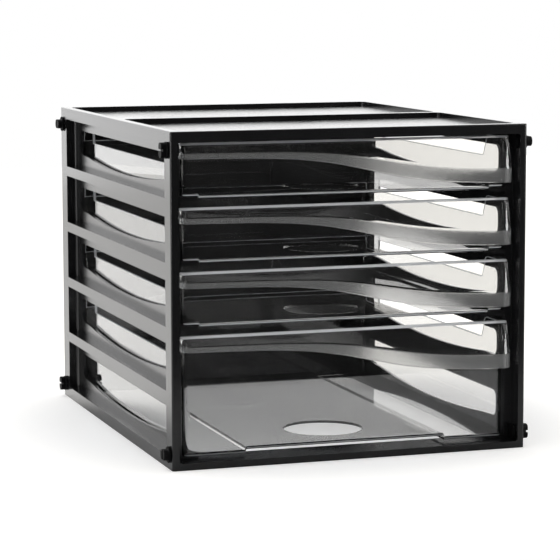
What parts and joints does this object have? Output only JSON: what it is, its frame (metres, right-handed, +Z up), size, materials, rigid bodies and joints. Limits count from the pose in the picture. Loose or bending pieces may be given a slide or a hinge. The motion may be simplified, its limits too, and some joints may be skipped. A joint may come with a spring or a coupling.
{
  "type": "desktop drawer organizer",
  "caption": "Low desktop cabinet with a black open-sided frame, clear paper drawers with wavy frosted pulls, and quarter-turn joining pegs.",
  "frame": {"origin": "middle of the footprint, on the surface that the cabinet stands on", "axes": "+X to the right seen from the front, +Y from the drawer pulls to the back panel, +Z up"},
  "size_m": [0.2962, 0.35, 0.253],
  "materials": {
    "frame_plastic": "glossy black",
    "drawer_plastic": "clear, with a frosted band along the pull",
    "peg_plastic": "semi-gloss black"
  },
  "bodies": {
    "cabinet": {"left_side": "frame_plastic", "right_side": "frame_plastic", "top_panel": "frame_plastic", "base_panel": "frame_plastic", "back_panel": "frame_plastic"},
    "drawer_1_body": {"drawer_1": "drawer_plastic"},
    "drawer_2_body": {"drawer_2": "drawer_plastic"},
    "drawer_3_body": {"drawer_3": "drawer_plastic"},
    "drawer_4_body": {"drawer_4": "drawer_plastic"},
    "peg_left_front_top_body": {"peg_left_front_top": "peg_plastic"},
    "peg_left_front_bottom_body": {"peg_left_front_bottom": "peg_plastic"},
    "peg_left_back_top_body": {"peg_left_back_top": "peg_plastic"},
    "peg_left_back_bottom_body": {"peg_left_back_bottom": "peg_plastic"},
    "peg_right_front_top_body": {"peg_right_front_top": "peg_plastic"},
    "peg_right_front_bottom_body": {"peg_right_front_bottom": "peg_plastic"},
    "peg_right_back_top_body": {"peg_right_back_top": "peg_plastic"},
    "peg_right_back_bottom_body": {"peg_right_back_bottom": "peg_plastic"}
  },
  "joints": [
    {"name": "drawer_1_slide", "type": "slide", "parent": "cabinet", "child": "drawer_1_body", "axis": [0, -1, 0], "range_m": [0, 0.262]},
    {"name": "drawer_2_slide", "type": "slide", "parent": "cabinet", "child": "drawer_2_body", "axis": [0, -1, 0], "range_m": [0, 0.262]},
    {"name": "drawer_3_slide", "type": "slide", "parent": "cabinet", "child": "drawer_3_body", "axis": [0, -1, 0], "range_m": [0, 0.262]},
    {"name": "drawer_4_slide", "type": "slide", "parent": "cabinet", "child": "drawer_4_body", "axis": [0, -1, 0], "range_m": [0, 0.262]},
    {"name": "peg_left_front_top_turn", "type": "hinge", "parent": "cabinet", "child": "peg_left_front_top_body", "pos_m": [-0.1425, -0.1665, 0.239], "axis": [1, 0, 0], "range_deg": [0, 90]},
    {"name": "peg_left_front_bottom_turn", "type": "hinge", "parent": "cabinet", "child": "peg_left_front_bottom_body", "pos_m": [-0.1425, -0.1665, 0.0115], "axis": [1, 0, 0], "range_deg": [0, 90]},
    {"name": "peg_left_back_top_turn", "type": "hinge", "parent": "cabinet", "child": "peg_left_back_top_body", "pos_m": [-0.1425, 0.1665, 0.239], "axis": [1, 0, 0], "range_deg": [0, 90]},
    {"name": "peg_left_back_bottom_turn", "type": "hinge", "parent": "cabinet", "child": "peg_left_back_bottom_body", "pos_m": [-0.1425, 0.1665, 0.0115], "axis": [1, 0, 0], "range_deg": [0, 90]},
    {"name": "peg_right_front_top_turn", "type": "hinge", "parent": "cabinet", "child": "peg_right_front_top_body", "pos_m": [0.1425, -0.1665, 0.239], "axis": [1, 0, 0], "range_deg": [0, 90]},
    {"name": "peg_right_front_bottom_turn", "type": "hinge", "parent": "cabinet", "child": "peg_right_front_bottom_body", "pos_m": [0.1425, -0.1665, 0.0115], "axis": [1, 0, 0], "range_deg": [0, 90]},
    {"name": "peg_right_back_top_turn", "type": "hinge", "parent": "cabinet", "child": "peg_right_back_top_body", "pos_m": [0.1425, 0.1665, 0.239], "axis": [1, 0, 0], "range_deg": [0, 90]},
    {"name": "peg_right_back_bottom_turn", "type": "hinge", "parent": "cabinet", "child": "peg_right_back_bottom_body", "pos_m": [0.1425, 0.1665, 0.0115], "axis": [1, 0, 0], "range_deg": [0, 90]}
  ]
}
